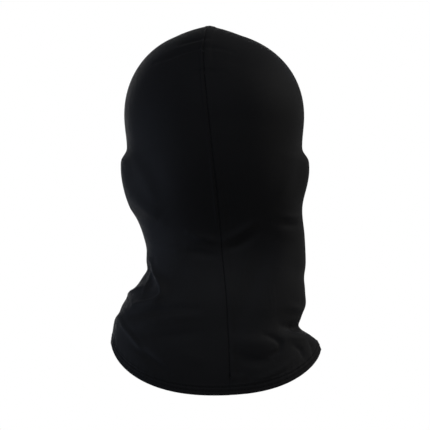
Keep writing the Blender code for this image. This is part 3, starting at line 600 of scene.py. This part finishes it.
def jersey():
    """Black polyester-elastane single jersey, dyed in the piece: columns of small V stitches.

    Matt yarn with a fine fibre fuzz, so faces turned away are lighter and a soft sheen replaces gloss.
    The stitches are 0.6 mm in the cloth and drawn 1.3 mm wide, or the render would lose them."""
    material, tree, shader = new_material(
        "black_polyester_elastane_jersey", Roughness=0.7, IOR=1.45, Specular_IOR_Level=0.025,
        Sheen_Weight=0.03, Sheen_Roughness=0.3, Sheen_Tint=colour("#d8d9df"))
    wale, course, lean = 1.3, 1.1, 1.4
    place = add(tree, "ShaderNodeUVMap", uv_map="cloth").outputs[0]
    counted = add(tree, "ShaderNodeMapping", {"Vector": place, "Scale": (1000 / wale, 1000 / course, 1)})
    u, v, _ = add(tree, "ShaderNodeSeparateXYZ", {0: counted.outputs[0]}).outputs
    # leg = |sin(pi (v - lean p))| and groove = sin(2 pi p), where p runs 0, 0.5, 0 across each wale
    side = add(tree, "ShaderNodeMath", {0: u, 1: 0.5}, operation="PINGPONG").outputs[0]
    along = add(tree, "ShaderNodeMath", {0: side, 1: -lean, 2: v}, operation="MULTIPLY_ADD").outputs[0]
    waves = []
    for count, per in ((along, math.pi), (side, 2 * math.pi)):
        turn = add(tree, "ShaderNodeMath", {0: count, 1: per}, operation="MULTIPLY").outputs[0]
        waves.append(add(tree, "ShaderNodeMath", {0: turn}, operation="SINE").outputs[0])
    leg = add(tree, "ShaderNodeMath", {0: waves[0]}, operation="ABSOLUTE").outputs[0]
    leg = add(tree, "ShaderNodeMath", {0: leg, 1: 0.6, 2: 0.4}, operation="MULTIPLY_ADD").outputs[0]
    stitch = add(tree, "ShaderNodeMath", {0: leg, 1: waves[1]}, operation="MULTIPLY").outputs[0]
    fuzz = add(tree, "ShaderNodeTexNoise", {"Vector": place, "Scale": 900.0, "Detail": 3.0}).outputs[0]
    cloud = add(tree, "ShaderNodeTexNoise", {"Vector": place, "Scale": 14.0, "Detail": 4.0}).outputs[0]
    point = add(tree, "ShaderNodeTexCoord").outputs["Object"]
    height = add(tree, "ShaderNodeSeparateXYZ", {0: point}).outputs[2]
    # Painted light: round the neck the base colour is made lighter, a painted brightening for the light that
    # the slack knit's raised fibres catch there; the taut head keeps the darker colour.
    # The ramp runs from the hem at 0 to the crown at 1.
    tall = add(tree, "ShaderNodeMapRange", {"Value": height, "From Min": -0.317, "From Max": 0.006})
    loose = add(tree, "ShaderNodeValToRGB", {"Fac": tall.outputs[0]})
    for spot, level in ((0.05, 0.0), (0.16, 0.45), (0.26, 0.8), (0.33, 0.9), (0.46, 0.0)):
        stop = loose.color_ramp.elements.new(spot)
        stop.color = (level, level, level, 1)
    loose.color_ramp.elements[-1].color = (0, 0, 0, 1)
    raised = add(tree, "ShaderNodeMath", {0: fuzz, 1: 0.5, 2: stitch}, operation="MULTIPLY_ADD").outputs[0]
    bump = add(tree, "ShaderNodeBump", {"Strength": 0.3, "Distance": 0.0002, "Height": raised})
    # Mixes the knit's own dye with its painted-light lighter colour, following the neck ramp.
    shade = add(tree, "ShaderNodeMix", {"Factor": loose.outputs[0]}, data_type="RGBA")
    for knit, low, high in (("A", "#0b0b0c", "#0f0f10"), ("B", "#121213", "#161617")):  # tight knit, then the lighter painted-light colour used round the neck
        dye = add(tree, "ShaderNodeMix", {"Factor": cloud, "A": colour(low), "B": colour(high)},
                  data_type="RGBA")
        tree.links.new(dye.outputs["Result"], shade.inputs[knit])
    tree.links.new(bump.outputs[0], shader.inputs["Normal"])
    tree.links.new(shade.outputs["Result"], shader.inputs["Base Color"])
    return material


JERSEY = jersey()
for name, is_left in (("left_panel", True), ("right_panel", False)):
    knit = panel(name + "_knit", is_left)
    knit.data.materials.append(JERSEY)
    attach(knit, "hood")
    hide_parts(name)


# ==== The face opening's binding and elastic ====
# A 17.5 mm strip of the same jersey, folded over the cut edge with a soft braided elastic
# inside, and stitched down all round. It is sewn on stretched, so it gathers a little.
BINDING_WIDTH, BINDING_WALL, BINDING_LIFT = 7.0, 0.7, 1.05
BINDING_UNDER = 2.95  # how far its inner face lies below the cloth's outside
OPENING_STEPS, PATTERN_ROUND = 420, 430  # rings of the mesh, and millimetres of pattern, all the way round


def face_line(count):
    """Evenly spaced stations on the opening's outline, unrolled: place, and unit direction away from it."""
    turn = np.linspace(0, 2 * math.pi, 8001)
    bow = [size * np.sign(wave) * np.abs(wave) ** (2 / EYE_POWER)
           for size, wave in ((EYE_HALF_WIDTH, np.cos(turn)), (EYE_HALF_HEIGHT, np.sin(turn)))]
    bow = np.stack(bow, -1)
    run = distances(bow)
    here = at_distance((np.arange(count) + 0.5) / count * run[-1], run, bow)
    lift = NOSE_RISE * np.exp(-(here[:, 0] / NOSE_REACH) ** 2) * ease(6, -6, here[:, 1])
    here[:, 1] += EYE_HEIGHT + lift
    along = np.roll(here, -2, 0) - np.roll(here, 2, 0)
    away = np.stack([along[:, 1], -along[:, 0]], -1)
    return here, away / np.linalg.norm(away, axis=1, keepdims=True)


def on_face(place):
    """Angle and level of unrolled places, by walking along each row from the front seam line."""
    fan = math.pi - np.linspace(0, 1.75, 260)[:, None] * np.sign(place[None, :, 0])
    height = np.broadcast_to(place[:, 1], fan.shape)
    step = np.diff(skin(fan, height), axis=0, prepend=skin(fan[:1], height[:1]))
    run = np.cumsum(np.linalg.norm(step, axis=-1), 0)
    target = np.abs(place[:, 0])
    after = np.clip((run < target).sum(0), 1, len(fan) - 1)
    column = np.arange(len(place))
    low, high = run[after - 1, column], run[after, column]
    share = (target - low) / np.maximum(high - low, 1e-9)
    return fan[after - 1, column] * (1 - share) + fan[after, column] * share, place[:, 1]


def round_face(away, lift, count):
    """Loops round the opening: a grid with one column for each (distance away, lift) of a profile."""
    here, out = face_line(count)
    columns = []
    for distance, height in zip(away, lift):
        angle, level = on_face(here + np.reshape(distance, (-1, 1)) * out)
        columns.append(skin(angle, level) + np.reshape(height, (-1, 1)) * outward(skin, angle, level))
    return np.stack(columns, 1)


def binding():
    """The folded strip: flat outside, a round turn over the edge, flat inside; small gathers ripple it."""
    half = (BINDING_LIFT + BINDING_UNDER) / 2
    bend = np.linspace(0, math.pi, 9)
    centre = half - BINDING_WALL - 0.35
    flat = np.linspace(BINDING_WIDTH, centre, 7)[:-1]
    away = np.concatenate([[BINDING_WIDTH + 0.1], flat, centre - half * np.sin(bend), flat[::-1]])
    lift = np.concatenate([[BINDING_LIFT - 0.45], 0 * flat + BINDING_LIFT,
                           BINDING_LIFT - half + half * np.cos(bend), 0 * flat - BINDING_UNDER])
    run = np.linspace(0, 1, OPENING_STEPS, endpoint=False)
    gather = 0.13 * np.sin(2 * math.pi * 96 * run + 2.2 * np.sin(2 * math.pi * 5 * run))
    loose = np.exp(-((away - 5.0) / 1.6) ** 2)
    outside = lift > -half
    columns = [height + outside[k] * (gather * (1 - loose[k]) * 0.9 - 0.22 * loose[k])
               for k, height in enumerate(lift)]
    points = round_face(away, columns, OPENING_STEPS)
    width = distances(np.stack([away, lift], -1))
    uv = np.stack(np.broadcast_arrays(width[None, :], PATTERN_ROUND * run[:, None]), -1) * MM
    faces = grid_faces(*points.shape[:2], flip=True, wrap=True).reshape(-1, 4).tolist()
    strip = make_piece("face_opening_binding_tape", points, faces, uv)
    thicken(strip, BINDING_WALL, -1)
    return strip


tape = binding()
tape.data.materials.append(JERSEY)
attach(tape, "hood")
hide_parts("face_opening_binding")


def ribbed(name, direction, scale, distortion, tints, strength, depth, uv=None, **sockets):
    """A material whose fine parallel ribs tint it and stand out, with its own uniform sockets."""
    material, tree, shader = new_material(name, **sockets)
    if uv:
        place = add(tree, "ShaderNodeUVMap", uv_map=uv).outputs[0]
    else:
        place = add(tree, "ShaderNodeTexCoord").outputs["Object"]
    ribs = add(tree, "ShaderNodeTexWave", {"Vector": place, "Scale": scale, "Distortion": distortion},
               bands_direction=direction).outputs["Fac"]
    low, high = map(colour, tints)
    tint = add(tree, "ShaderNodeMix", {"Factor": ribs, "A": low, "B": high}, data_type="RGBA")
    bump = add(tree, "ShaderNodeBump", {"Strength": strength, "Distance": depth, "Height": ribs})
    tree.links.new(tint.outputs["Result"], shader.inputs["Base Color"])
    tree.links.new(bump.outputs[0], shader.inputs["Normal"])
    return material


# White polyester braid over rubber cores: matt, with ribs across it every 1.5 mm.
ELASTIC = ribbed("white_braided_elastic", "X", 33.0, 1.0, ("#c9c7c1", "#e6e4de"), 0.5, 0.0003, Roughness=0.8)
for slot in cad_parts["face_opening_elastic"].material_slots:
    slot.material = ELASTIC


# ==== Sewing threads ====
# Black textured polyester, 0.4 mm thick once it has relaxed. Needle rows show as short
# stitches outside; looper threads lie in zigzags inside; the overlock wraps the raw edges.
THREAD_RADIUS, STITCH, OVERLOCK_PITCH = 0.2, 2.9, 3.0


def tubes(paths, up, radius, sides, closed=False):
    """Round tubes along paths of points, side by side: rings stand square to the path, ends are closed.

    paths is (tube, station, 3), up its rough normals; a ring is centre + radius (up cos + across sin)."""
    ahead = (np.roll(paths, -1, 1) - np.roll(paths, 1, 1)) if closed else np.gradient(paths, axis=1)
    ahead /= np.linalg.norm(ahead, axis=-1, keepdims=True)
    across = np.cross(ahead, up)
    across /= np.linalg.norm(across, axis=-1, keepdims=True)
    raised = np.cross(across, ahead)
    turn = np.linspace(0, 2 * math.pi, sides, endpoint=False)[:, None]
    ring = raised[:, :, None] * np.cos(turn) + across[:, :, None] * np.sin(turn)
    points = paths[:, :, None] + radius * ring
    many, stations = paths.shape[:2]
    first = np.arange(many)[:, None, None] * stations * sides
    i = np.arange(stations if closed else stations - 1)[None, :, None]
    k = np.arange(sides)[None, None, :]
    after, beyond = (i + 1) % stations, (k + 1) % sides
    corners = [(i, k), (i, beyond), (after, beyond), (after, k)]
    faces = np.stack([first + row * sides + column for row, column in corners], -1).reshape(-1, 4).tolist()
    if not closed:
        cap = np.arange(sides)
        base = np.arange(many)[:, None] * stations * sides
        faces += (base + cap[::-1]).tolist() + (base + (stations - 1) * sides + cap).tolist()
    return points, faces


# Textured polyester sewing thread: black and matt, with a fine twist every 0.8 mm along it.
THREAD = ribbed("black_textured_polyester_thread", "DIAGONAL", 62.0, 2.0, ("#070707", "#0d0d0e"),
                0.4, 0.0001, Roughness=0.65, Specular_IOR_Level=0.03, Sheen_Weight=0.01)


def sew(name, node, points, faces):
    """Makes the thread piece and lets it stand for its CAD node."""
    thread = make_piece(name, points, faces)
    thread.data.materials.append(THREAD)
    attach(thread, "hood")
    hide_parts(node)


def stitched(line, normal, length):
    """Separate stitches on a closed line, nine tenths of the pitch long; their ends dip into the cloth."""
    line, normal = [np.concatenate([values, values[:1]]) for values in (line, normal)]
    run = distances(line)
    count = int(round(run[-1] / length))
    t = np.linspace(0.04, 0.94, 6)
    station = (np.arange(count)[:, None] + t) / count * run[-1]
    at, up = at_distance(station, run, line), at_distance(station, run, normal)
    dip = np.array([-0.5, 0.05, 0.2, 0.2, 0.05, -0.5])[:, None]
    return tubes(at + dip * up, up, THREAD_RADIUS, 6)


def round_hem(above, depth, count):
    """A closed line round the neck: points and normals on the worn cloth, above the hem's edge."""
    angle = np.linspace(0, 2 * math.pi, count, endpoint=False)
    level = HEM_LEVEL + np.broadcast_to(above, angle.shape)
    normal = outward(skin, angle, level)
    return worn(angle, level) - np.reshape(depth, (-1, 1)) * normal, normal


HEM_POINTS = 1600  # along each needle row of the hem
for place, above in (("upper", UPPER_ROW), ("lower", LOWER_ROW)):
    sew(f"neck_hem_{place}_stitches", f"neck_hem_{place}_needle_thread",
        *stitched(*round_hem(above, -0.1, HEM_POINTS), STITCH))

HEM_LOOPS, LOOP_STATIONS = 190, 8  # loops of the looper thread round the hem, and points on each loop


def zigzag(loops, low, high):
    """Distances that cross from low to high and back once a loop, rounded where they turn."""
    wave = np.abs((np.arange(loops * LOOP_STATIONS) / LOOP_STATIONS) % 1 * 2 - 1)
    return low + (high - low) * ease(0.1, 0.9, wave)


# A looper crosses between the two rows and back, once a stitch.
swing = zigzag(HEM_LOOPS, LOWER_ROW, UPPER_ROW)
loop, normal = round_hem(swing, LAP + 0.3, len(swing))
sew("neck_hem_looper_zigzag", "neck_hem_looper_thread",
    *tubes(loop[None], normal[None], THREAD_RADIUS, 5, True))

# The binding has one needle row, in the groove along its outside.
NEEDLE_ROW, ROW_POINTS, FACE_LOOPS = 5.0, 900, 130
row, above_row = [round_face([NEEDLE_ROW], [BINDING_LIFT + lift + np.zeros(ROW_POINTS)], ROW_POINTS)[:, 0]
                  for lift in (-0.12, 1)]
sew("face_binding_stitches", "face_binding_needle_thread", *stitched(row, above_row - row, STITCH))
swing = zigzag(FACE_LOOPS, 3.6, 6.2)
loop, below = [round_face([swing], [-(BINDING_UNDER + drop) + 0 * swing], len(swing))[:, 0]
               for drop in (0.25, 1.25)]
sew("face_binding_looper_zigzag", "face_binding_looper_thread",
    *tubes(loop[None], (loop - below)[None], THREAD_RADIUS, 5, True))


def overlock(stretches):
    """Thread over the raw edges: from the needle line out, round the edge, and back, once a pitch.

    stretches are (front seam?, first level, last level), end to end."""
    # One turn of the thread: how far aside from the seam it lies, and how deep below the cloth.
    cross_aside = np.array([1.6, 2.9, 4.2, 5.3, 5.62, 5.62, 5.62, 5.35, 4.2, 2.9])
    cross_depth = np.array([3.5, 3.5, 3.5, 3.5, 2.9, 1.6, 2.8, 3.5, 3.5, 3.5])
    fine = 900
    spans = [(front, np.linspace(first, last, fine)) for front, first, last in stretches]
    level = np.concatenate([span for _, span in spans])
    seat = np.concatenate([np.full(fine, front) for front, _ in spans])
    run = distances(np.concatenate([skin(seam_angle(span, front), span) for front, span in spans]))
    count = int(run[-1] / OVERLOCK_PITCH)
    stations = count * len(cross_aside)
    station = (np.arange(stations) + 0.5) / stations * run[-1]
    here = np.interp(station, run, level)
    front = np.interp(station, run, seat) > 0.5
    aside, depth = np.tile(cross_aside, count)[:, None], np.tile(cross_depth, count)[:, None]
    points, ups = np.empty((len(here), 3)), np.empty((len(here), 3))
    for side in (False, True):
        mine = front == side
        if mine.any():
            seam = seam_frame(here[mine], side)
            angle, at = beside(seam, here[mine], aside[mine], side)
            points[mine] = worn(angle, at)[:, 0] - depth[mine] * seam[2]
            ups[mine] = seam[2]
    return tubes(points[None], ups[None] + 1e-3, THREAD_RADIUS, 5)


sew("crown_seam_overlock", "crown_seam_overlock_thread",
    *overlock([(True, BROW_END + 3, DOME_TOP), (False, DOME_TOP, HEM_LEVEL + 19)]))
sew("chin_seam_overlock", "chin_seam_overlock_thread",
    *overlock([(True, CHIN_START - 3, HEM_LEVEL + 19)]))


# ==== Care label ====
# A blank white satin ribbon, 26 x 20 mm, caught in the neck seam by one edge. It hangs free
# inside, so it lies against the cloth and can be lifted: its own body turns on that edge.
LABEL_WIDE, LABEL_TALL, LABEL_THICK = 26.0, 20.0, 0.35
LABEL_LEVEL, LABEL_OFFSET, LABEL_DEPTH, LABEL_TILT = -278.0, 6.1, 4.2, math.radians(9)


def care_label():
    """A ribbon from its sewn edge: width times the lean of the tilt, bowed a little, with soft waves."""
    level = np.array([-265.0, LABEL_LEVEL, -292.0])
    seam = seam_frame(level, False)
    spine = skin(seam[0], level)
    along = (spine[0] - spine[2]) / np.linalg.norm(spine[0] - spine[2])
    normal = seam[2][1]
    right = np.cross(along, normal)
    right *= -np.sign(right[0]) / np.linalg.norm(right)
    angle, at = beside(seam_frame(level[1:2], False), level[1:2], np.array([[LABEL_OFFSET]]), False)
    hinge = skin(angle, at)[0, 0] - LABEL_DEPTH * normal
    width = math.cos(LABEL_TILT) * right - math.sin(LABEL_TILT) * normal
    thick = np.cross(along, width)
    u, v = np.meshgrid(np.linspace(0, 1, 40), np.linspace(-0.5, 0.5, 30), indexing="ij")
    bow = -0.45 * np.sin(math.pi * u) * (1 + 0.3 * np.cos(2 * math.pi * v))
    bow += 0.25 * u**2 * np.sin(7 * v + 1.0)
    points = (hinge + u[..., None] * LABEL_WIDE * width + v[..., None] * LABEL_TALL * along
              + bow[..., None] * thick * np.sign(thick @ normal))
    uv = np.stack([u * LABEL_WIDE, v * LABEL_TALL], -1) * MM
    out = np.cross(width, along) @ normal
    faces = grid_faces(*u.shape, flip=out < 0).reshape(-1, 4).tolist()
    label = make_piece("care_label_ribbon", points, faces, uv)
    thicken(label, LABEL_THICK, 0)
    return label


# White polyester satin, woven: warp floats run the ribbon's length and give a soft directional gloss.
# The floats are 0.1 mm apart in the ribbon and drawn 0.5 mm apart so that they show.
SATIN = ribbed("white_woven_polyester_satin", "Y", 100.0, 0.6, ("#dcdad4", "#f0eee9"), 0.3, 0.0001,
               uv="cloth", Roughness=0.38, Specular_IOR_Level=0.5)
ribbon = care_label()
ribbon.data.materials.append(SATIN)
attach(ribbon, "label")
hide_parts("care_label")


# ==== Floor, light and camera ====
# A pale floor well below the collar, a white room, and five large soft lights: two from behind
# and above, one to each side, and one before the face.
FLOOR_LEVEL, FLOOR_RADIUS, FLOOR_SIDES = -1.0, 1.4, 64
disc = bpy.data.meshes.new("floor")
turn = np.linspace(0, 2 * math.pi, FLOOR_SIDES, endpoint=False)
rim = np.stack([FLOOR_RADIUS * np.cos(turn), FLOOR_RADIUS * np.sin(turn), 0 * turn + FLOOR_LEVEL], -1)
disc.from_pydata(rim.tolist(), [], [list(range(FLOOR_SIDES))])
floor = bpy.data.objects.new("floor", disc)
bpy.context.scene.collection.objects.link(floor)
paint, tree, shader = new_material("matt_pale_floor_paint", Roughness=0.9)
speckle = add(tree, "ShaderNodeTexNoise", {"Scale": 40.0}).outputs[0]
tint = add(tree, "ShaderNodeMix", {"Factor": speckle, "A": colour("#e6e6e6"), "B": colour("#ededed")},
           data_type="RGBA")
tree.links.new(tint.outputs["Result"], shader.inputs["Base Color"])
floor.data.materials.append(paint)

world = bpy.data.worlds.new("white_room")
world.use_nodes = True
tree = world.node_tree
room = tree.nodes["Background"]
room.inputs["Color"].default_value = (1, 1, 1, 1)
room.inputs["Strength"].default_value = 0.18
seen = add(tree, "ShaderNodeBackground", {"Color": (1, 1, 1, 1), "Strength": 1.0})
either = add(tree, "ShaderNodeMixShader", {0: add(tree, "ShaderNodeLightPath").outputs["Is Camera Ray"],
                                           1: room.outputs[0], 2: seen.outputs[0]})
tree.links.new(either.outputs[0], tree.nodes["World Output"].inputs["Surface"])
bpy.context.scene.world = world
bpy.context.scene.view_settings.view_transform = "Standard"

MIDDLE = (-0.0006, 0.0, -0.160)  # of the balaclava's outline, where the lights and the camera point


def aim(thing, place, target):
    """Puts a light or camera in place, its -Z axis at the target and its +Y axis upwards."""
    thing.location = place
    away = mathutils.Vector(place) - mathutils.Vector(target)
    thing.rotation_euler = away.to_track_quat("Z", "Y").to_euler()
    bpy.context.scene.collection.objects.link(thing)


# name, place, size in metres, watts and tint
for name, place, size, power, tint in (
        ("key_light", (-0.5, 2.2, 2.1), 1.2, 57.0, "#fffdf5"),
        ("cool_key_light", (1.0, 2.1, 1.9), 1.2, 39.0, "#cfe1ff"),
        ("left_light", (2.1, -0.6, -0.85), 1.0, 41.0, "#d6e4ff"),
        ("right_light", (-2.0, -0.9, 0.9), 1.0, 37.0, "#fffdf8"),
        ("front_light", (0.3, -2.2, -0.1), 1.4, 20.0, "#ffffff")):
    lamp = bpy.data.lights.new(name, "AREA")
    lamp.size, lamp.energy, lamp.color = size, power, colour(tint)[:3]
    aim(bpy.data.objects.new(name, lamp), place, MIDDLE)

camera = bpy.data.cameras.new("camera")
DISTANCE, FIELD = 10.0, 0.37625  # metres away, straight behind and level, and metres of width in view there
camera.lens = camera.sensor_width * DISTANCE / FIELD
camera = bpy.data.objects.new("camera", camera)
aim(camera, (MIDDLE[0], DISTANCE, MIDDLE[2]), MIDDLE)
bpy.context.scene.camera = camera
